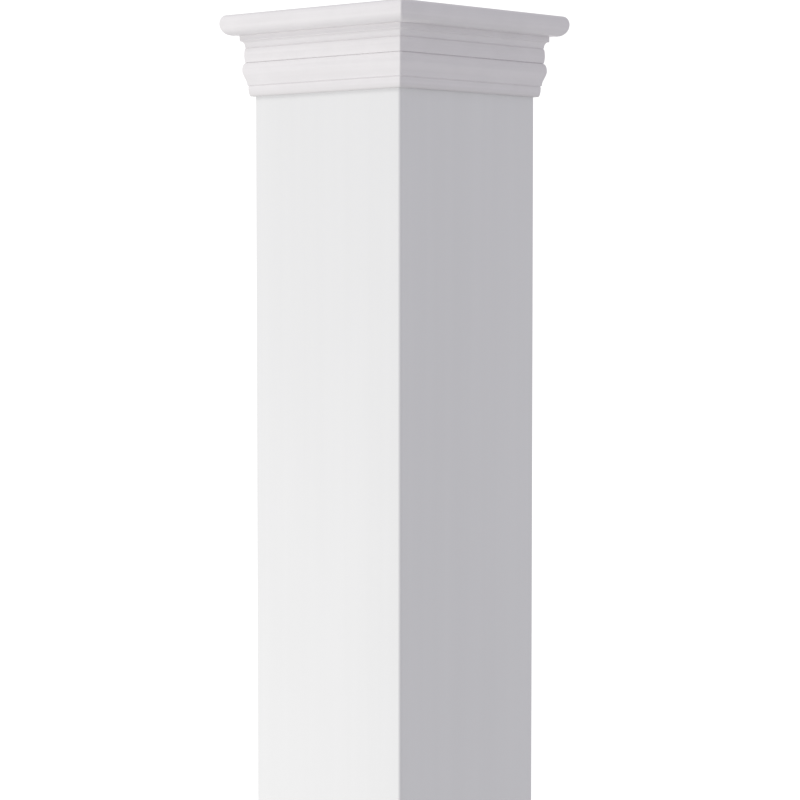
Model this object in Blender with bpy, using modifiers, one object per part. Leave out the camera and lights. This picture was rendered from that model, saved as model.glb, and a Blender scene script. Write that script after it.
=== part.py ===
"""Square PVC column: a hollow shaft with a moulded capital and a plain base.

The column stands on the XY plane, centred on the Z axis. All lengths are in metres.
Every piece is a ring with mitred corners. Its section is drawn at +X, turned about Z
in four steps, set square to the axes, and eased along its outer corners.

A section is a list of (projection, height) points. Projection is how far a point stands
out from the shaft's face, and height is measured from the ground. Each side runs from
the top of the piece down to its underside.
"""

import math

import bmesh
import bpy
from mathutils import Matrix

# The column and its shaft, an eight inch tube with half inch walls.
COLUMN_HEIGHT = 2.4384
SHAFT_WIDTH = 0.2032
SHAFT_WALL = 0.0127
SHAFT_ARRIS = 0.003
SHAFT_FACE = SHAFT_WIDTH / 2
JOINT_GAP = 0.0003

# Top plate: a rounded nose, fullest above its middle.
PLATE_THICKNESS = 0.0207
PLATE_PROJECTION = 0.026
PLATE_NOSE_DROP = 0.0085
PLATE_UPPER_ROUND = 0.005
PLATE_LOWER_ROUND = 0.0095

# Crown moulding: a fillet, a shallow cove and a slightly crowned band.
CROWN_HEIGHT = 0.0273
CROWN_FILLET_PROJECTION = 0.0113
CROWN_FILLET_HEIGHT = 0.0058
CROWN_COVE_FOOT = 0.0074
CROWN_COVE_HEIGHT = 0.006
CROWN_BAND_EDGE = 0.0076
CROWN_BAND_FULL = 0.0081
CROWN_BAND_ROUND = 0.0014

# Neck moulding: an ogee over a bead that turns in to the shaft.
NECK_HEIGHT = 0.0339
NECK_TOP_PROJECTION = 0.0066
NECK_OGEE_FULL = 0.0096
NECK_OGEE_TOE = 0.0059
NECK_SHOULDER_HEIGHT = 0.0075
NECK_BEAD_HEIGHT = 0.01
NECK_BEAD_ROUND = 0.0088

# Base moulding: the neck's bead and ogee turned over, on a square fillet.
BASE_HEIGHT = 0.046
BASE_BEAD_HEIGHT = 0.0105
BASE_BEAD_ROUND = 0.0055
BASE_OGEE_TOE = 0.0054
BASE_OGEE_FULL = 0.019
BASE_FILLET_PROJECTION = 0.0205
BASE_FILLET_HEIGHT = 0.007

# Plinth: a plain square block with eased arrises.
PLINTH_HEIGHT = 0.0889
PLINTH_PROJECTION = 0.0254
PLINTH_TOP_ROUND = 0.003
PLINTH_FOOT_ROUND = 0.0015

# Details shared by the mouldings.
BEAD_PROJECTION = 0.0051
BEAD_LIP = 0.003
QUIRK_WIDTH = 0.0014
QUIRK_DEPTH = 0.0011
QUIRK_FLOOR = 0.0004
SMALL_ROUND = 0.0008
MOULDING_ARRIS = 0.0009
ARRIS_SEGMENTS = 3
SHARP_ANGLE = math.radians(25)

# Heights of the joints between the pieces.
PLATE_UNDERSIDE = COLUMN_HEIGHT - PLATE_THICKNESS
CROWN_TOP = PLATE_UNDERSIDE - JOINT_GAP
CROWN_UNDERSIDE = CROWN_TOP - CROWN_HEIGHT
NECK_TOP = CROWN_UNDERSIDE - JOINT_GAP
NECK_UNDERSIDE = NECK_TOP - NECK_HEIGHT
BASE_UNDERSIDE = PLINTH_HEIGHT + JOINT_GAP
BASE_TOP = BASE_UNDERSIDE + BASE_HEIGHT

# White cellular PVC: neutral on the shaft and a shade warmer on the mouldings.
SHAFT_WHITE = (0.80, 0.80, 0.79, 1.0)
MOULDING_WHITE = (0.79, 0.775, 0.775, 1.0)
SATIN = 0.42


def clear_scene():
    """Remove whatever the scene holds."""
    for item in list(bpy.data.objects):
        bpy.data.objects.remove(item, do_unlink=True)


def make_collection(name):
    """Add a collection to the scene."""
    collection = bpy.data.collections.new(name)
    bpy.context.scene.collection.children.link(collection)
    return collection


def pvc(name, colour, roughness=SATIN):
    """A smooth opaque plastic in one colour."""
    material = bpy.data.materials.new(name)
    material.use_nodes = True
    shader = material.node_tree.nodes["Principled BSDF"]
    shader.inputs["Base Color"].default_value = colour
    shader.inputs["Roughness"].default_value = roughness
    shader.inputs["Metallic"].default_value = 0.0
    return material


def arc(centre, radii, start, end, steps):
    """Points of an elliptical arc between two angles in degrees, ends included."""
    angles = [math.radians(start + (end - start) * i / steps) for i in range(steps + 1)]
    return [(centre[0] + radii[0] * math.cos(a), centre[1] + radii[1] * math.sin(a)) for a in angles]


def cove(top, foot, steps=6):
    """A hollow quarter that leaves the top level and ends plumb at its foot."""
    width = top[0] - foot[0]
    height = top[1] - foot[1]
    return arc((top[0], foot[1]), (width, height), 90, 180, steps)


def ogee(top, foot, steps=10):
    """A double curve from plumb at the top to plumb at the foot."""
    points = []
    for i in range(steps + 1):
        share = i / steps
        ease = (1 - math.cos(math.pi * share)) / 2
        points.append((top[0] + (foot[0] - top[0]) * ease, top[1] + (foot[1] - top[1]) * share))
    return points


def quirk(projection, top):
    """The floor of a narrow notch that parts two members of a moulding."""
    floor = projection - QUIRK_DEPTH
    inset = (QUIRK_WIDTH - QUIRK_FLOOR) / 2
    return [(floor, top - inset), (floor, top - inset - QUIRK_FLOOR)]


def crowned_band(edge, full, top, foot, steps=8):
    """A nearly flat band that swells a little at its middle."""
    points = []
    for i in range(steps + 1):
        share = i / steps
        swell = math.sin(math.pi * share)
        points.append((edge + (full - edge) * swell, top + (foot - top) * share))
    return points


def shaft_side():
    """The shaft's plain face."""
    return [(0.0, COLUMN_HEIGHT), (0.0, 0.0)]


def plate_side():
    """The rounded nose of the top plate."""
    nose = COLUMN_HEIGHT - PLATE_NOSE_DROP
    upper = arc(
        (PLATE_PROJECTION - PLATE_UPPER_ROUND, nose),
        (PLATE_UPPER_ROUND, PLATE_NOSE_DROP),
        90, 0, 7,
    )
    lower = arc(
        (PLATE_PROJECTION - PLATE_LOWER_ROUND, nose),
        (PLATE_LOWER_ROUND, PLATE_THICKNESS - PLATE_NOSE_DROP),
        0, -90, 9,
    )
    return upper + lower[1:]


def crown_side():
    """Fillet, cove and band under the top plate."""
    fillet_foot = CROWN_TOP - CROWN_FILLET_HEIGHT
    cove_foot = fillet_foot - CROWN_COVE_HEIGHT
    band_top = cove_foot - QUIRK_WIDTH
    band_foot = CROWN_UNDERSIDE + CROWN_BAND_ROUND
    cove_top = CROWN_FILLET_PROJECTION - SMALL_ROUND
    fillet = [(CROWN_FILLET_PROJECTION, CROWN_TOP)]
    fillet += arc(
        (cove_top, fillet_foot + SMALL_ROUND),
        (SMALL_ROUND, SMALL_ROUND),
        0, -90, 3,
    )
    hollow = cove((cove_top, fillet_foot), (CROWN_COVE_FOOT, cove_foot))
    notch = quirk(CROWN_COVE_FOOT, cove_foot)
    band = crowned_band(CROWN_BAND_EDGE, CROWN_BAND_FULL, band_top, band_foot)
    lower = arc(
        (CROWN_BAND_EDGE - CROWN_BAND_ROUND, band_foot),
        (CROWN_BAND_ROUND, CROWN_BAND_ROUND),
        0, -90, 4,
    )
    return fillet + hollow[1:] + notch + band + lower[1:]


def neck_side():
    """Ogee and bead that end the capital on the shaft."""
    shoulder_foot = NECK_TOP - NECK_SHOULDER_HEIGHT
    bead_top = NECK_UNDERSIDE + NECK_BEAD_HEIGHT
    ogee_foot = bead_top + QUIRK_WIDTH
    shoulder = arc(
        (NECK_TOP_PROJECTION, shoulder_foot),
        (NECK_OGEE_FULL - NECK_TOP_PROJECTION, NECK_SHOULDER_HEIGHT),
        90, 0, 8,
    )
    double_curve = ogee((NECK_OGEE_FULL, shoulder_foot), (NECK_OGEE_TOE, ogee_foot), 12)
    notch = quirk(NECK_OGEE_TOE, ogee_foot)
    bead = [(BEAD_PROJECTION, bead_top)]
    bead += arc(
        (BEAD_LIP, NECK_UNDERSIDE + NECK_BEAD_ROUND),
        (BEAD_PROJECTION - BEAD_LIP, NECK_BEAD_ROUND),
        0, -90, 8,
    )
    return shoulder + double_curve[1:] + notch + bead


def base_side():
    """Bead, ogee and fillet on top of the plinth."""
    bead_foot = BASE_TOP - BASE_BEAD_HEIGHT
    fillet_top = BASE_UNDERSIDE + BASE_FILLET_HEIGHT
    bead = arc(
        (BEAD_LIP, BASE_TOP - BASE_BEAD_ROUND),
        (BEAD_PROJECTION - BEAD_LIP, BASE_BEAD_ROUND),
        90, 0, 7,
    )
    bead.append((BEAD_PROJECTION, bead_foot))
    notch = quirk(BEAD_PROJECTION, bead_foot)
    double_curve = ogee((BASE_OGEE_TOE, bead_foot - QUIRK_WIDTH), (BASE_OGEE_FULL, fillet_top), 14)
    fillet = arc(
        (BASE_FILLET_PROJECTION - SMALL_ROUND, fillet_top - SMALL_ROUND),
        (SMALL_ROUND, SMALL_ROUND),
        90, 0, 3,
    )
    fillet.append((BASE_FILLET_PROJECTION, BASE_UNDERSIDE))
    return bead + notch + double_curve + fillet


def plinth_side():
    """The plinth's flat face between two eased arrises."""
    upper = arc(
        (PLINTH_PROJECTION - PLINTH_TOP_ROUND, PLINTH_HEIGHT - PLINTH_TOP_ROUND),
        (PLINTH_TOP_ROUND, PLINTH_TOP_ROUND),
        90, 0, 5,
    )
    lower = arc(
        (PLINTH_PROJECTION - PLINTH_FOOT_ROUND, PLINTH_FOOT_ROUND),
        (PLINTH_FOOT_ROUND, PLINTH_FOOT_ROUND),
        0, -90, 3,
    )
    return upper + lower


def ease_corners(mesh, inner, radius):
    """Round the mitred edges of a ring's outer side."""
    body = bmesh.new()
    body.from_mesh(mesh)
    top = max(v.co.z for v in body.verts)
    foot = min(v.co.z for v in body.verts)
    mitres = []
    for edge in body.edges:
        a, b = (v.co for v in edge.verts)
        on_corner = all(abs(abs(p.x) - abs(p.y)) < 1e-6 for p in (a, b)) and (a.xy - b.xy).length < inner
        on_outside = min(abs(a.x), abs(b.x)) > inner + 1e-5
        on_end = a.z == b.z and a.z in (top, foot)
        if on_corner and on_outside and not on_end:
            mitres.append(edge)
    bmesh.ops.bevel(
        body,
        geom=mitres,
        offset=radius,
        offset_type="OFFSET",
        segments=ARRIS_SEGMENTS,
        profile=0.5,
        affect="EDGES",
    )
    bmesh.ops.remove_doubles(body, verts=body.verts, dist=1e-6)
    body.to_mesh(mesh)
    body.free()


def mitred_ring(name, side, inner, arris, material, collection):
    """Turn a section into a square ring around the shaft's axis."""
    outline = [(SHAFT_FACE + projection, height) for projection, height in side]
    outline += [(inner, side[-1][1]), (inner, side[0][1])]
    section = bpy.data.meshes.new(name + "_section")
    verts = [(half * math.sqrt(2), 0.0, height) for half, height in outline]
    edges = [(i, (i + 1) % len(outline)) for i in range(len(outline))]
    section.from_pydata(verts, edges, [])
    ring = bpy.data.objects.new(name, section)
    collection.objects.link(ring)

    turn = ring.modifiers.new("Four sides", "SCREW")
    turn.axis = "Z"
    turn.angle = math.tau
    turn.steps = 4
    turn.render_steps = 4
    turn.use_merge_vertices = True
    turn.merge_threshold = 0.00001

    graph = bpy.context.evaluated_depsgraph_get()
    mesh = bpy.data.meshes.new_from_object(ring.evaluated_get(graph))
    mesh.name = name
    mesh.transform(Matrix.Rotation(math.radians(45), 4, "Z"))
    ring.modifiers.clear()
    ring.data = mesh
    bpy.data.meshes.remove(section)

    ease_corners(mesh, inner, arris)
    mesh.shade_smooth()
    mesh.set_sharp_from_angle(angle=SHARP_ANGLE)
    mesh.materials.clear()
    mesh.materials.append(material)
    return ring


def main():
    clear_scene()
    column = make_collection("Square PVC column")
    around_shaft = SHAFT_FACE + JOINT_GAP
    mitred_ring(
        "shaft", shaft_side(), SHAFT_FACE - SHAFT_WALL, SHAFT_ARRIS,
        pvc("Shaft white", SHAFT_WHITE), column,
    )
    mouldings = {
        "top_plate": plate_side(),
        "crown_moulding": crown_side(),
        "neck_moulding": neck_side(),
        "base_moulding": base_side(),
        "plinth": plinth_side(),
    }
    for name, side in mouldings.items():
        white = pvc(name.replace("_", " ").capitalize() + " white", MOULDING_WHITE)
        mitred_ring(name, side, around_shaft, MOULDING_ARRIS, white, column)


main()
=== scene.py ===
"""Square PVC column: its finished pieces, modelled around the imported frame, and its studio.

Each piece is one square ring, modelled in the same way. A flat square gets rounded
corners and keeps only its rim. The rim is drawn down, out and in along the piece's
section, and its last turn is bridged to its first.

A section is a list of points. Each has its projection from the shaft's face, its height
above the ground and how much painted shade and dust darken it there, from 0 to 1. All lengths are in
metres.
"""

import math
from collections import namedtuple

import bmesh
import bpy
from bpy.props import FloatProperty, FloatVectorProperty, PointerProperty
from bpy.types import Operator, Panel, PropertyGroup
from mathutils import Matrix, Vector


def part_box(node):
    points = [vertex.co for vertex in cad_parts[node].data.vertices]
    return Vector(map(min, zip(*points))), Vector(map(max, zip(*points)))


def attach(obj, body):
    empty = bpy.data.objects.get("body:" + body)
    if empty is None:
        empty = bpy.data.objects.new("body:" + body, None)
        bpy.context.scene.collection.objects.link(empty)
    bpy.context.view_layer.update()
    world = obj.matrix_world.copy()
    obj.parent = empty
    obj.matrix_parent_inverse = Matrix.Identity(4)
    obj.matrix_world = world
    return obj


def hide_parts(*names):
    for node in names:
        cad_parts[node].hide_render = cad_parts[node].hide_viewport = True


bl_info = {
    "name": "Square PVC column",
    "version": (1, 0, 0),
    "blender": (4, 5, 0),
    "location": "3D View > Sidebar > Column",
    "description": "Models a square PVC column with a moulded capital and base, and its studio",
    "category": "Add Mesh",
}

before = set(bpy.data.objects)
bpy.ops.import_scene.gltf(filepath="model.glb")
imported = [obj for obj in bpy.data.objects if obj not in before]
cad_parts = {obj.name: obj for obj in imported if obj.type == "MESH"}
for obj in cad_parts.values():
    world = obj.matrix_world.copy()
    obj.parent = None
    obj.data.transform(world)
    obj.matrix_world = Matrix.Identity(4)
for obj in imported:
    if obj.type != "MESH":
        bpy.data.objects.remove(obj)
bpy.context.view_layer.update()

BODY = "root"

Point = namedtuple("Point", "out height dust", defaults=(0.0,))
Span = namedtuple("Span", "foot top reach")


def span_of(node):
    """A node's lowest and highest level and how far it stands out from the column's centre."""
    low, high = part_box(node)
    return Span(low.z, high.z, high.x)


# The joints between two mouldings are glued up to a hairline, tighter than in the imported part.
HAIRLINE = 0.00003
SHAFT = span_of("shaft")
PLATE = span_of("top_plate")
CROWN = span_of("crown_moulding")._replace(top=PLATE.foot - HAIRLINE)
NECK = span_of("neck_moulding")._replace(top=CROWN.foot - HAIRLINE)
PLINTH = span_of("plinth")
BASE = span_of("base_moulding")._replace(foot=PLINTH.top + HAIRLINE)
SHAFT_FACE = SHAFT.reach

# How finely the pieces are modelled, and how near two heights lie that count as one.
CURVE_STEPS = 16
OGEE_STEPS = 2 * CURVE_STEPS
EDGE_STEPS = 4
SHAFT_CORNER_SEGMENTS = 10
MITRE_SEGMENTS = 6
SHAFT_STOPS = 12
PLINTH_STOPS = 4
FLOOR_SIDES = 96
SMOOTH_ANGLE = math.radians(28)
CLOSE = 1e-5

# The fit of a ring around the shaft, and the eased edges at its back.
RING_FIT = 0.0003
BACK_EASE = 0.0002

# The painted shade and dust of a notch, the turn inward from which it holds all of that, and the
# number of steps beside the shaft over which painted shade and dust gather.
NOTCH_DUST_AND_SHADE = 0.1
FULL_DUST_AND_SHADE_TURN = math.radians(60)
END_DUST_AND_SHADE_STEPS = 3 * CURVE_STEPS // 4

# The grain of the plastics: how often each pattern repeats in a metre along each axis, and
# how deep its relief is in metres. The mouldings' die lines are counted across and along.
SKIN_GRAIN = (600, 600, 600)
SKIN_DEPTH = 0.000006
SHAFT_DIE_GRAIN = (700, 700, 1.3)
SHAFT_DIE_DEPTH = 0.000012
SHAFT_STREAK_GRAIN = (38, 38, 0.5)
SHAFT_CLOUD_GRAIN = (9, 9, 3.5)
MOULDING_DIE_ACROSS = 900
MOULDING_DIE_ALONG = 5
MOULDING_DIE_DEPTH = 0.000010
MOULDING_CLOUD_GRAIN = (26, 26, 40)

# The draw marks' grain as a share of the die lines', and the width and dust of a mitre seam.
DRAW_MARK_SHARE = (0.28, 0.28, 0.5)
SEAM_WIDTH = 0.0004
SEAM_DUST = 0.12

# The share of light that the duller patches give back, and how strongly the painted shade and
# dust darken the plastic: a light even share, and more of it in clouds.
SHAFT_PATCH_LIGHT = 0.972
MOULDING_PATCH_LIGHT = 0.955
DUST_AND_SHADE_COAT = 0.18
DUST_AND_SHADE_CLOUDS = 0.35

# The photograph's frame and what was measured in it.
PHOTO_SIDE = 800
FOCAL_PIXELS = 2538
SENSOR = 36.0
CAMERA_AZIMUTH = math.radians(42.9)
CAMERA_PITCH = math.radians(3.16)
CAMERA_DISTANCE = 2.475
CAMERA_HEIGHT = 2.1888

# The studio's lamps: azimuth from the column's front in degrees, distance, height, width,
# length, the height that each one faces, and the spread of its beam in degrees.
Lamp = namedtuple("Lamp", "azimuth distance height width length aim spread")
KEY_LAMP = Lamp(-28, 2.6, 1.1, 1.2, 1.0, 1.6, 135)
TOP_LAMP = Lamp(-28, 1.6, 3.7, 1.0, 1.0, 2.4, 180)
BACK_LEFT_LAMP = Lamp(-140, 2.6, 1.6, 1.2, 2.0, 1.5, 120)
BACK_RIGHT_LAMP = Lamp(165, 2.6, 1.6, 1.2, 2.0, 1.5, 120)

# The floor's roughness, and a backdrop brighter than white, so that it shows as pure white.
FLOOR_ROUGHNESS = 0.7
WHITE = (1.0, 1.0, 1.0, 1.0)
BACKDROP = 1.15


def size(name, description, metres):
    """A length that a user can change."""
    return FloatProperty(
        name=name, description=description, default=metres, min=0.0, unit="LENGTH", precision=4,
    )


def white(name, description, colour):
    """A colour that a user can change."""
    return FloatVectorProperty(
        name=name, description=description, default=colour, min=0.0, max=1.0, subtype="COLOR", size=4,
    )


def share(name, description, value):
    """A share from 0 to 1 that a user can change."""
    return FloatProperty(
        name=name, description=description, default=value, min=0.0, max=1.0, subtype="FACTOR",
    )


def watts(name, description, value):
    """A lamp's power that a user can change."""
    return FloatProperty(name=name, description=description, default=value, min=0.0, unit="POWER")


class ColumnShaft(PropertyGroup):
    """Sizes of the hollow shaft."""

    wall: size("Wall", "Thickness of the shaft's wall", 0.0127)
    corner: size("Corner radius", "Radius of the shaft's upright corners", 0.003)
    cut_edge: size("Cut edge", "Rounding of the sawn ends' edges", 0.0005)


class ColumnCapital(PropertyGroup):
    """Sizes of the plate, crown and neck at the top of the shaft."""

    nose_drop: size("Nose drop", "Depth of the plate's fullest point under its top", 0.0085)
    nose_upper: size("Upper nose", "Projection of the nose's upper round", 0.005)
    nose_lower: size("Lower nose", "Projection of the nose's lower round", 0.0095)
    fillet: size("Fillet height", "Height of the crown's fillet", 0.0058)
    cove_foot: size("Cove foot", "Projection of the cove's foot", 0.0074)
    cove_height: size("Cove height", "Height of the crown's cove", 0.006)
    band_quirk: size("Band quirk", "Depth of the notch above the crown's band", 0.0006)
    band_edge: size("Band edge", "Projection of the crown band's edges", 0.0076)
    band_full: size("Band middle", "Projection of the crown band's middle", 0.0081)
    band_round: size("Band round", "Rounding of the crown band's lower edge", 0.0014)
    neck_top: size("Neck top", "Projection of the neck's top edge", 0.0066)
    shoulder: size("Shoulder height", "Height of the round above the ogee", 0.0075)
    toe: size("Ogee toe", "Projection of the ogee's toe", 0.0059)
    bead_height: size("Bead height", "Height of the neck's bead", 0.01)
    bead_round: size("Bead round", "Height of the round that turns the bead in", 0.0088)


class ColumnBase(PropertyGroup):
    """Sizes of the moulding and plinth at the foot of the shaft."""

    bead_height: size("Bead height", "Height of the base's bead", 0.0105)
    bead_round: size("Bead round", "Height of the round that turns the bead in", 0.0055)
    toe: size("Ogee toe", "Projection of the ogee's upper end", 0.0054)
    full: size("Ogee foot", "Projection of the ogee's lower end", 0.019)
    fillet: size("Fillet height", "Height of the base's square fillet", 0.007)
    plinth_top: size("Plinth top round", "Rounding of the plinth's upper edge", 0.003)
    plinth_foot: size("Plinth foot round", "Rounding of the plinth's lower edge", 0.0015)


class ColumnDetails(PropertyGroup):
    """Sizes that the mouldings share."""

    mitre: size("Mitre radius", "Rounding of the mouldings' mitred corners", 0.0018)
    bead: size("Bead", "Projection of the beads", 0.0051)
    lip: size("Bead lip", "Edge of a bead beside the shaft", 0.003)
    quirk_width: size("Quirk width", "Width of the notch between two members", 0.0014)
    quirk_depth: size("Quirk depth", "Depth of the notch between two members", 0.0011)
    quirk_floor: size("Quirk floor", "Width of the notch's floor", 0.0004)
    small_round: size("Small round", "Rounding of the square fillets", 0.0008)


class ColumnFinish(PropertyGroup):
    """Colours and gloss of the plastic."""

    shaft: white("Shaft", "White of the shaft", (0.80, 0.80, 0.80, 1.0))
    moulding: white("Mouldings", "White of the capital and base", (0.81, 0.789, 0.796, 1.0))
    # The colour of the painted shade and dust in the notches.
    dust: white("Dust", "Colour of the dust in the notches", (0.50, 0.485, 0.47, 1.0))
    shaft_roughness: share("Shaft roughness", "Satin of the shaft", 0.55)
    moulding_roughness: share("Moulding roughness", "Satin of the mouldings", 0.5)


class ColumnStudio(PropertyGroup):
    """Floor, light and backdrop."""

    floor: white("Floor", "Colour of the floor", (0.8, 0.802, 0.778, 1.0))
    floor_solid: size("Solid floor", "Radius where the floor starts to fade out", 1.6)
    floor_edge: size("Floor edge", "Radius where the floor has faded out", 4.5)
    key: watts("Key", "Power of the main light in front", 17.4)
    top: watts("Top", "Power of the soft light high in front", 11.5)
    back_left: watts("Back left", "Power of the light behind the column's left side", 8.0)
    back_right: watts("Back right", "Power of the light behind the column's right side", 3.5)
    room: FloatProperty(
        name="Room", description="Brightness of the light from all round", default=0.613, min=0.0,
    )
    room_colour: white("Room colour", "Cool tint of the light from all round", (0.952, 0.942, 1.0, 1.0))
    key_colour: white("Key colour", "Warm tint of the lights in front", (0.993, 1.0, 0.945, 1.0))


class ColumnSettings(PropertyGroup):
    """All that can be changed on the column."""

    shaft: PointerProperty(type=ColumnShaft)
    capital: PointerProperty(type=ColumnCapital)
    base: PointerProperty(type=ColumnBase)
    details: PointerProperty(type=ColumnDetails)
    finish: PointerProperty(type=ColumnFinish)
    studio: PointerProperty(type=ColumnStudio)


def arc(centre, radii, start, end, steps=CURVE_STEPS):
    """Points of an elliptical arc between two angles in degrees, ends included."""
    angles = [math.radians(start + (end - start) * i / steps) for i in range(steps + 1)]
    return [Point(centre[0] + radii[0] * math.cos(a), centre[1] + radii[1] * math.sin(a)) for a in angles]


def straight(start, end, steps):
    """Points between two ends, both left out."""
    return [
        Point(
            start.out + (end.out - start.out) * i / steps,
            start.height + (end.height - start.height) * i / steps,
        )
        for i in range(1, steps)
    ]


def ogee(top, foot):
    """A double curve from plumb at the top to plumb at the foot."""
    points = []
    for i in range(OGEE_STEPS + 1):
        part = i / OGEE_STEPS
        ease = (1 - math.cos(math.pi * part)) / 2
        points.append(Point(top[0] + (foot[0] - top[0]) * ease, top[1] + (foot[1] - top[1]) * part))
    return points


def crowned_band(edge, full, top, foot):
    """A nearly flat band that swells a little at its middle."""
    points = []
    for i in range(CURVE_STEPS + 1):
        part = i / CURVE_STEPS
        points.append(Point(edge + (full - edge) * math.sin(math.pi * part), top + (foot - top) * part))
    return points


def quirk(details, out, top, depth):
    """The floor of the narrow notch that parts two members of a moulding."""
    floor = out - depth
    inset = (details.quirk_width - details.quirk_floor) / 2
    return [Point(floor, top - inset), Point(floor, top - inset - details.quirk_floor)]


def round_edge(out, height, radius, start, end):
    """A small quarter round inside an edge, between angles of which 0 is out and 90 is up."""
    centre_out = out - radius if -90 <= start <= 90 and -90 <= end <= 90 else out + radius
    centre_height = height - radius if 90 in (start, end) else height + radius
    return arc((centre_out, centre_height), (radius, radius), start, end, EDGE_STEPS)


def settle_dust_and_shade(side):
    """Give each point of a side its painted shade and dust, most where it turns in sharply into a hollow.
    """
    dusted = [side[0]]
    for before, here, after in zip(side, side[1:], side[2:]):
        inward = Vector((here.out - before.out, here.height - before.height))
        onward = Vector((after.out - here.out, after.height - here.height))
        turn = -inward.angle_signed(onward)
        dusted.append(here._replace(dust=NOTCH_DUST_AND_SHADE * min(max(turn / FULL_DUST_AND_SHADE_TURN, 0.0), 1.0)))
    return dusted + [side[-1]]


def settle_end_dust_and_shade(side):
    """Paint shade, with some dust, over the last steps of a side, towards the shaft."""
    last = side[-END_DUST_AND_SHADE_STEPS:]
    gathered = [point._replace(dust=(i + 1) / END_DUST_AND_SHADE_STEPS) for i, point in enumerate(last)]
    return side[:-END_DUST_AND_SHADE_STEPS] + gathered


def ring_back(foot, top):
    """The underside's inner edge, the plain back against the shaft and the top's inner edge."""
    return round_edge(RING_FIT, foot, BACK_EASE, 270, 180) + round_edge(RING_FIT, top, BACK_EASE, 180, 90)


def shaft_section(sizes):
    """The shaft's face, foot, inside and head."""
    edge = sizes.cut_edge
    outside = round_edge(0, SHAFT.top, edge, 90, 0)
    foot = round_edge(0, SHAFT.foot, edge, 0, -90)
    inner_foot = round_edge(-sizes.wall, SHAFT.foot, edge, 270, 180)
    inner_top = round_edge(-sizes.wall, SHAFT.top, edge, 180, 90)
    outside += straight(outside[-1], foot[0], SHAFT_STOPS)
    inner_foot += straight(inner_foot[-1], inner_top[0], SHAFT_STOPS)
    return outside + foot + inner_foot + inner_top


def plate_section(sizes):
    """The rounded nose of the top plate."""
    reach = PLATE.reach - SHAFT_FACE
    nose = PLATE.top - sizes.nose_drop
    upper = arc((reach - sizes.nose_upper, nose), (sizes.nose_upper, sizes.nose_drop), 90, 0)
    lower = arc((reach - sizes.nose_lower, nose), (sizes.nose_lower, nose - PLATE.foot), 0, -90)
    return upper + lower[1:] + ring_back(PLATE.foot, PLATE.top)


def crown_section(sizes, details):
    """Fillet, cove and band under the top plate."""
    reach = CROWN.reach - SHAFT_FACE
    small = details.small_round
    fillet_foot = CROWN.top - sizes.fillet
    cove_foot = fillet_foot - sizes.cove_height
    band_top = cove_foot - details.quirk_width
    band_foot = CROWN.foot + sizes.band_round
    fillet = [Point(reach, CROWN.top)] + round_edge(reach, fillet_foot, small, 0, -90)
    cove = arc(
        (reach - small, cove_foot),
        (reach - small - sizes.cove_foot, fillet_foot - cove_foot),
        90, 180,
    )
    notch = quirk(details, sizes.cove_foot, cove_foot, sizes.band_quirk)
    band = crowned_band(sizes.band_edge, sizes.band_full, band_top, band_foot)
    lower = round_edge(sizes.band_edge, CROWN.foot, sizes.band_round, 0, -90)
    # Painted shade, with some dust, darkens the notches where the side turns in.
    side = settle_dust_and_shade(fillet + cove[1:] + notch + band + lower[1:])
    return side + ring_back(CROWN.foot, CROWN.top)


def neck_section(sizes, details):
    """Ogee and bead that end the capital on the shaft."""
    reach = NECK.reach - SHAFT_FACE
    shoulder_foot = NECK.top - sizes.shoulder
    bead_top = NECK.foot + sizes.bead_height
    ogee_foot = bead_top + details.quirk_width
    shoulder = arc((sizes.neck_top, shoulder_foot), (reach - sizes.neck_top, sizes.shoulder), 90, 0)
    double_curve = ogee((reach, shoulder_foot), (sizes.toe, ogee_foot))
    notch = quirk(details, sizes.toe, ogee_foot, details.quirk_depth)
    bead = [Point(details.bead, bead_top)]
    bead += arc(
        (details.lip, NECK.foot + sizes.bead_round),
        (details.bead - details.lip, sizes.bead_round),
        0, -90,
    )
    # Painted shade, with some dust, darkens the notches and the bead's underside beside the shaft.
    side = settle_end_dust_and_shade(settle_dust_and_shade(shoulder + double_curve[1:] + notch + bead))
    return side + ring_back(NECK.foot, NECK.top)


def base_section(sizes, details):
    """Bead, ogee and fillet on top of the plinth."""
    reach = BASE.reach - SHAFT_FACE
    small = details.small_round
    bead_foot = BASE.top - sizes.bead_height
    fillet_top = BASE.foot + sizes.fillet
    bead = arc(
        (details.lip, BASE.top - sizes.bead_round),
        (details.bead - details.lip, sizes.bead_round),
        90, 0,
    )
    bead.append(Point(details.bead, bead_foot))
    notch = quirk(details, details.bead, bead_foot, details.quirk_depth)
    double_curve = ogee((sizes.toe, bead_foot - details.quirk_width), (sizes.full, fillet_top))
    fillet = round_edge(reach, fillet_top, small, 90, 0)
    fillet.append(Point(reach, BASE.foot))
    # Painted shade, with some dust, darkens the notches and the bead's upper round beside the shaft.
    side = settle_dust_and_shade(bead + notch + double_curve + fillet)
    side = settle_end_dust_and_shade(side[::-1])[::-1]
    return side + ring_back(BASE.foot, BASE.top)


def plinth_section(sizes):
    """The plinth's flat face between two eased edges."""
    reach = PLINTH.reach - SHAFT_FACE
    upper = round_edge(reach, PLINTH.top, sizes.plinth_top, 90, 0)
    lower = round_edge(reach, PLINTH.foot, sizes.plinth_foot, 0, -90)
    face = straight(upper[-1], lower[0], PLINTH_STOPS)
    return upper + face + lower + ring_back(PLINTH.foot, PLINTH.top)


def mark_dust_and_shade(ring, amount):
    """Write the painted shade and dust of the rim that is selected."""
    body = bmesh.from_edit_mesh(ring.data)
    dust = body.verts.layers.float["dust"]
    for vertex in body.verts:
        if vertex.select:
            vertex[dust] = amount


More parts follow.
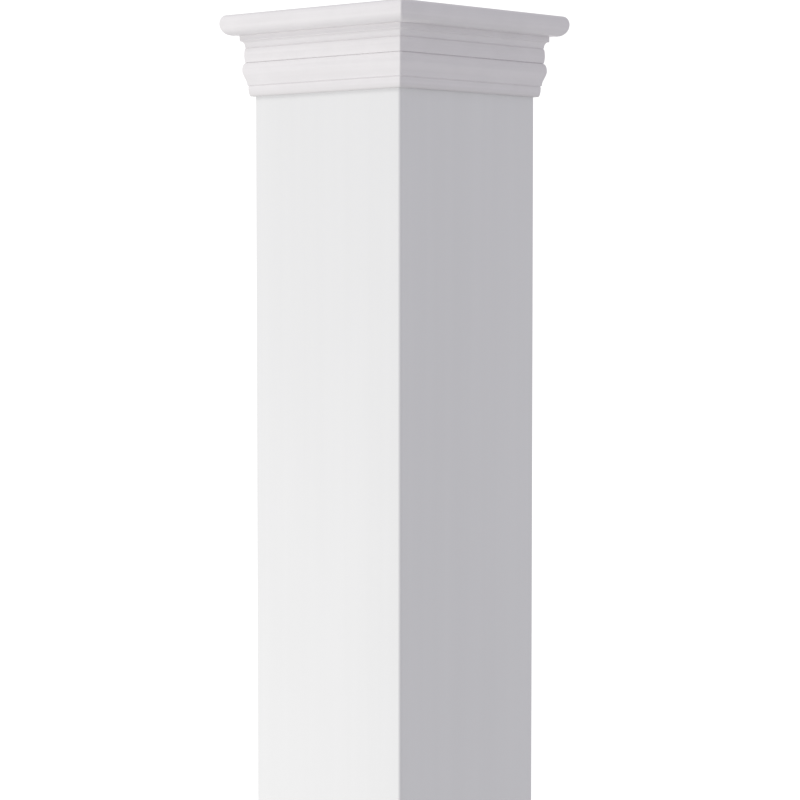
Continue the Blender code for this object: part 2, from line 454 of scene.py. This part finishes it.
def select_level(ring, height):
    """Select only what lies at one height."""
    bpy.ops.mesh.select_mode(type="VERT")
    bpy.ops.mesh.select_all(action="DESELECT")
    body = bmesh.from_edit_mesh(ring.data)
    for vertex in body.verts:
        vertex.select = abs(vertex.co.z - height) < CLOSE
    body.select_flush_mode()
    bmesh.update_edit_mesh(ring.data)


def require_closed(ring):
    """Stop unless the ring is one closed body with its faces outward."""
    body = bmesh.new()
    body.from_mesh(ring.data)
    closed = all(len(edge.link_faces) == 2 for edge in body.edges)
    volume = body.calc_volume(signed=True)
    body.free()
    if not closed or volume <= 0:
        raise RuntimeError(f"{ring.name} is not a closed body")


def model_ring(name, section, corner, segments):
    """Draw a rounded square rim along a section and close it into a ring."""
    start = section[0]
    if bpy.context.mode != "OBJECT":
        bpy.ops.object.mode_set(mode="OBJECT")
    bpy.ops.object.select_all(action="DESELECT")
    bpy.ops.mesh.primitive_plane_add(size=2 * (SHAFT_FACE + start.out), location=(0, 0, start.height))
    bpy.ops.object.transform_apply(location=True, rotation=True, scale=True)
    ring = bpy.context.object
    ring.name = name
    ring.data.name = name
    ring.data.attributes.new("dust", "FLOAT", "POINT")
    bpy.ops.object.mode_set(mode="EDIT")
    bpy.ops.mesh.select_all(action="SELECT")
    bpy.ops.mesh.bevel(offset=corner, segments=segments, affect="VERTICES")
    bpy.ops.mesh.delete(type="ONLY_FACE")
    bpy.ops.mesh.select_all(action="SELECT")
    mark_dust_and_shade(ring, start.dust)
    for before, after in zip(section, section[1:]):
        stretch = (SHAFT_FACE + after.out) / (SHAFT_FACE + before.out)
        bpy.ops.mesh.extrude_edges_move(
            TRANSFORM_OT_translate={"value": (0, 0, after.height - before.height)},
        )
        bpy.ops.transform.resize(value=(stretch, stretch, 1), center_override=(0, 0, after.height))
        mark_dust_and_shade(ring, after.dust)
    select_level(ring, start.height)
    bpy.ops.mesh.bridge_edge_loops()
    bpy.ops.mesh.select_all(action="SELECT")
    bpy.ops.mesh.normals_make_consistent(inside=False)
    bpy.ops.object.mode_set(mode="OBJECT")
    require_closed(ring)
    return ring


def finish_piece(ring, node, finish):
    """Shade a ring, give it its plastic and put it in its node's place."""
    ring.data.materials.append(finish)
    bpy.ops.object.shade_smooth_by_angle(angle=SMOOTH_ANGLE)
    weighting = ring.modifiers.new("Flat faces shade flat", "WEIGHTED_NORMAL")
    weighting.keep_sharp = True
    bpy.ops.object.modifier_apply(modifier=weighting.name)
    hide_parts(node)
    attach(ring, BODY)


def build_mouldings(mitre, plastic, pieces):
    """Model and finish each moulding of a group, from its name, its node and its section."""
    for name, node, section in pieces:
        ring = model_ring(name, section, mitre, MITRE_SEGMENTS)
        finish_piece(ring, node, plastic)


class Wire:
    """A socket of a material, with the arithmetic that adds Math nodes."""

    def __init__(self, tree, socket=None):
        self.tree = tree
        self.socket = socket

    def __getitem__(self, output):
        """Another output of the same node."""
        return Wire(self.tree, self.socket.node.outputs[output])

    def node(self, kind, settings=None, inputs=None):
        """Add a node, set it up, fill or link its sockets and return its first output."""
        made = self.tree.nodes.new(kind)
        for name, value in (settings or {}).items():
            setattr(made, name, value)
        for name, value in (inputs or {}).items():
            if isinstance(value, Wire):
                self.tree.links.new(value.socket, made.inputs[name])
            else:
                made.inputs[name].default_value = value
        return Wire(self.tree, made.outputs[0])

    def math(self, operation, *values):
        return self.node("ShaderNodeMath", {"operation": operation}, dict(enumerate(values)))

    def __add__(self, other):
        return self.math("ADD", self, other)

    def __sub__(self, other):
        return self.math("SUBTRACT", self, other)

    def __rsub__(self, other):
        return self.math("SUBTRACT", other, self)

    def __mul__(self, other):
        return self.math("MULTIPLY", self, other)

    def __abs__(self):
        return self.math("ABSOLUTE", self)

    __radd__ = __add__
    __rmul__ = __mul__

    def ramp(self, low, high, to_low=0.0, to_high=1.0):
        """A smooth step of this value between two levels."""
        return self.node(
            "ShaderNodeMapRange",
            {"interpolation_type": "SMOOTHSTEP"},
            {"Value": self, "From Min": low, "From Max": high, "To Min": to_low, "To Max": to_high},
        )

    def mix(self, first, second):
        """Two colours, mixed by this value."""
        return self.node("ShaderNodeMix", {"data_type": "RGBA"}, {0: self, 6: first, 7: second})[2]

    def stretch(self, scale):
        """This vector, scaled along each axis."""
        return self.node("ShaderNodeVectorMath", {"operation": "MULTIPLY"}, {0: self, 1: scale})

    def noise(self, detail=2.0, roughness=0.5):
        """Soft noise at this place, around a middle of one half."""
        return self.node(
            "ShaderNodeTexNoise",
            None,
            {"Vector": self, "Scale": 1.0, "Detail": detail, "Roughness": roughness},
        )


def new_material(name, roughness=None):
    """A new material with a Principled shader, and the wire that starts its nodes."""
    material = bpy.data.materials.new(name)
    material.use_nodes = True
    shader = material.node_tree.nodes["Principled BSDF"]
    if roughness is not None:
        shader.inputs["Roughness"].default_value = roughness
    return material, shader, Wire(material.node_tree)


def connect(wire, shader, socket):
    """Feed a shader's socket from a wire."""
    wire.tree.links.new(wire.socket, shader.inputs[socket])


def relief(wire, height, depth, below=None):
    """A bump of a real depth in metres, on top of another one."""
    inputs = {"Strength": 1.0, "Distance": depth, "Height": height}
    if below is not None:
        inputs["Normal"] = below
    return wire.node("ShaderNodeBump", None, inputs)


def dulled(colour, light):
    """A colour that gives back only this share of its light."""
    return tuple(light * c for c in colour[:3]) + (1.0,)


def shaft_plastic(finish):
    """Satin plastic with the upright lines of the die, faint streaks and a soft skin."""
    material, shader, start = new_material("satin_shaft_white")
    place = start.node("ShaderNodeTexCoord")["Object"]
    die_lines = place.stretch(SHAFT_DIE_GRAIN).noise()
    streaks = place.stretch(SHAFT_STREAK_GRAIN).noise(detail=3.0, roughness=0.6)
    clouds = place.stretch(SHAFT_CLOUD_GRAIN).noise()
    skin = place.stretch(SKIN_GRAIN).noise(detail=1.0)
    bright = tuple(finish.shaft)
    patches = (0.6 * streaks + 0.4 * clouds).ramp(0.3, 0.7)
    connect(patches.mix(dulled(bright, SHAFT_PATCH_LIGHT), bright), shader, "Base Color")
    connect(finish.shaft_roughness + 0.07 * streaks + 0.04 * die_lines, shader, "Roughness")
    lines = relief(start, die_lines, SHAFT_DIE_DEPTH)
    connect(relief(start, skin, SKIN_DEPTH, lines), shader, "Normal")
    return material


def moulding_plastic(name, finish):
    """Satin plastic with the die's lines along each length, mitre seams, and painted shade with some dust
    in the notches and beside the shaft.
    """
    material, shader, start = new_material(name)
    place = start.node("ShaderNodeTexCoord")["Object"]
    parts = start.node("ShaderNodeSeparateXYZ", None, {"Vector": place})
    x, y, z = parts["X"], parts["Y"], parts["Z"]
    aside, ahead = abs(x), abs(y)
    along = start.node(
        "ShaderNodeCombineXYZ",
        None,
        {
            "X": MOULDING_DIE_ACROSS * start.math("MAXIMUM", aside, ahead),
            "Y": MOULDING_DIE_ACROSS * z,
            "Z": MOULDING_DIE_ALONG * (x + y),
        },
    )
    die_lines = along.noise()
    draw_marks = along.stretch(DRAW_MARK_SHARE).noise(roughness=0.6)
    clouds = place.stretch(MOULDING_CLOUD_GRAIN).noise(detail=3.0, roughness=0.6)
    skin = place.stretch(SKIN_GRAIN).noise(detail=1.0)
    seam = abs(aside - ahead).ramp(0.0, SEAM_WIDTH, to_low=1.0, to_high=0.0)
    # This attribute holds painted shade with some dust: it darkens the notches and the ends beside the
    # shaft.
    dust = start.node("ShaderNodeAttribute", {"attribute_name": "dust"})["Fac"]
    soil_and_shade = dust * (DUST_AND_SHADE_COAT + DUST_AND_SHADE_CLOUDS * clouds) + SEAM_DUST * seam
    bright = tuple(finish.moulding)
    patches = (0.5 * clouds + 0.5 * draw_marks).ramp(0.35, 0.65)
    tone = patches.mix(dulled(bright, MOULDING_PATCH_LIGHT), bright)
    connect(soil_and_shade.mix(tone, tuple(finish.dust)), shader, "Base Color")
    connect(finish.moulding_roughness + 0.05 * clouds + 0.05 * die_lines + 0.2 * dust, shader, "Roughness")
    lines = relief(start, die_lines, MOULDING_DIE_DEPTH)
    connect(relief(start, skin, SKIN_DEPTH, lines), shader, "Normal")
    return material


def floor_finish(studio):
    """A pale matt floor that fades out before its edge."""
    material, shader, start = new_material("pale_floor", FLOOR_ROUGHNESS)
    place = start.node("ShaderNodeTexCoord")["Object"]
    radius = start.node("ShaderNodeVectorMath", {"operation": "LENGTH"}, {0: place})["Value"]
    shader.inputs["Base Color"].default_value = studio.floor
    shown = radius.ramp(studio.floor_solid, studio.floor_edge, to_low=1.0, to_high=0.0)
    connect(shown, shader, "Alpha")
    return material


def lay_floor(studio):
    """Lay the round floor."""
    bpy.ops.object.select_all(action="DESELECT")
    bpy.ops.mesh.primitive_circle_add(vertices=FLOOR_SIDES, radius=studio.floor_edge, fill_type="NGON")
    floor = bpy.context.object
    floor.name = "studio_floor"
    floor.data.materials.append(floor_finish(studio))


def hang_light(name, lamp, power, colour=WHITE[:3]):
    """Hang a soft light around the column, facing its axis."""
    angle = math.radians(lamp.azimuth)
    place = Vector((lamp.distance * math.sin(angle), -lamp.distance * math.cos(angle), lamp.height))
    bpy.ops.object.light_add(type="AREA", location=place)
    light = bpy.context.object
    light.name = name
    light.rotation_euler = (Vector((0, 0, lamp.aim)) - place).to_track_quat("-Z", "Y").to_euler()
    light.data.shape = "RECTANGLE"
    light.data.size = lamp.width
    light.data.size_y = lamp.length
    light.data.energy = power
    light.data.color = colour
    light.data.spread = math.radians(lamp.spread)
    light.visible_camera = False


def light_room(studio):
    """A white backdrop for the camera and an even, dimmer light for everything else."""
    world = bpy.data.worlds.new("studio_room")
    world.use_nodes = True
    bpy.context.scene.world = world
    start = Wire(world.node_tree)
    room = start.node("ShaderNodeBackground", None, {"Color": studio.room_colour, "Strength": studio.room})
    backdrop = start.node("ShaderNodeBackground", None, {"Color": WHITE, "Strength": BACKDROP})
    seen = start.node("ShaderNodeLightPath")["Is Camera Ray"]
    both = start.node("ShaderNodeMixShader", None, {0: seen, 1: room, 2: backdrop})
    connect(both, world.node_tree.nodes["World Output"], "Surface")
    bpy.context.scene.view_settings.view_transform = "Standard"


def place_camera():
    """Stand the camera at the photograph's distance, height and angle."""
    forward = Vector((-math.sin(CAMERA_AZIMUTH), math.cos(CAMERA_AZIMUTH), 0))
    near_edge = Vector((SHAFT_FACE, -SHAFT_FACE, CAMERA_HEIGHT))
    bpy.ops.object.camera_add(
        location=near_edge - forward * CAMERA_DISTANCE,
        rotation=(math.pi / 2 - CAMERA_PITCH, 0, CAMERA_AZIMUTH),
    )
    camera = bpy.context.object
    camera.name = "photo_camera"
    camera.data.sensor_width = SENSOR
    camera.data.lens = FOCAL_PIXELS / PHOTO_SIDE * SENSOR
    bpy.context.scene.camera = camera


class COLUMN_OT_hollow_shaft(Operator):
    """Model the hollow square shaft."""

    bl_idname = "column.hollow_shaft"
    bl_label = "Hollow shaft"
    bl_options = {"REGISTER", "UNDO"}

    def execute(self, context):
        column = context.scene.square_column
        section = shaft_section(column.shaft)
        ring = model_ring("hollow_shaft", section, column.shaft.corner, SHAFT_CORNER_SEGMENTS)
        finish_piece(ring, "shaft", shaft_plastic(column.finish))
        return {"FINISHED"}


class COLUMN_OT_capital(Operator):
    """Model the plate, crown and neck around the top of the shaft."""

    bl_idname = "column.capital"
    bl_label = "Capital"
    bl_options = {"REGISTER", "UNDO"}

    def execute(self, context):
        column = context.scene.square_column
        sizes = column.capital
        plastic = moulding_plastic("satin_capital_white", column.finish)
        build_mouldings(column.details.mitre, plastic, (
            ("nosed_top_plate", "top_plate", plate_section(sizes)),
            ("crown_ring", "crown_moulding", crown_section(sizes, column.details)),
            ("neck_ring", "neck_moulding", neck_section(sizes, column.details)),
        ))
        return {"FINISHED"}


class COLUMN_OT_base(Operator):
    """Model the moulding and plinth around the foot of the shaft."""

    bl_idname = "column.base"
    bl_label = "Base"
    bl_options = {"REGISTER", "UNDO"}

    def execute(self, context):
        column = context.scene.square_column
        plastic = moulding_plastic("satin_base_white", column.finish)
        build_mouldings(column.details.mitre, plastic, (
            ("base_ring", "base_moulding", base_section(column.base, column.details)),
            ("plinth_block", "plinth", plinth_section(column.base)),
        ))
        return {"FINISHED"}


class COLUMN_OT_studio(Operator):
    """Lay the floor, hang the lights and stand the camera."""

    bl_idname = "column.studio"
    bl_label = "Studio"
    bl_options = {"REGISTER", "UNDO"}

    def execute(self, context):
        studio = context.scene.square_column.studio
        lay_floor(studio)
        light_room(studio)
        warm = studio.key_colour[:3]
        hang_light("key_light", KEY_LAMP, studio.key, warm)
        hang_light("top_light", TOP_LAMP, studio.top, warm)
        hang_light("back_left_light", BACK_LEFT_LAMP, studio.back_left)
        hang_light("back_right_light", BACK_RIGHT_LAMP, studio.back_right)
        place_camera()
        return {"FINISHED"}


class COLUMN_PT_sidebar(Panel):
    """The column's sizes and finishes, and the buttons that build it."""

    bl_idname = "COLUMN_PT_sidebar"
    bl_label = "Square PVC column"
    bl_space_type = "VIEW_3D"
    bl_region_type = "UI"
    bl_category = "Column"

    def draw(self, context):
        column = context.scene.square_column
        for title, group in (
            ("Shaft", column.shaft),
            ("Capital", column.capital),
            ("Base", column.base),
            ("Details", column.details),
            ("Finish", column.finish),
            ("Studio", column.studio),
        ):
            box = self.layout.box()
            box.label(text=title)
            for name in group.__annotations__:
                box.prop(group, name)
        for operator in OPERATORS:
            self.layout.operator(operator.bl_idname)


SETTINGS = (
    ColumnShaft,
    ColumnCapital,
    ColumnBase,
    ColumnDetails,
    ColumnFinish,
    ColumnStudio,
    ColumnSettings,
)
OPERATORS = (
    COLUMN_OT_hollow_shaft,
    COLUMN_OT_capital,
    COLUMN_OT_base,
    COLUMN_OT_studio,
)
CLASSES = SETTINGS + OPERATORS + (COLUMN_PT_sidebar,)


def register():
    for cls in CLASSES:
        bpy.utils.register_class(cls)
    bpy.types.Scene.square_column = PointerProperty(type=ColumnSettings)


def unregister():
    del bpy.types.Scene.square_column
    for cls in reversed(CLASSES):
        bpy.utils.unregister_class(cls)


def main():
    register()
    bpy.ops.column.hollow_shaft()
    bpy.ops.column.capital()
    bpy.ops.column.base()
    bpy.ops.column.studio()


if __name__ == "__main__":
    main()
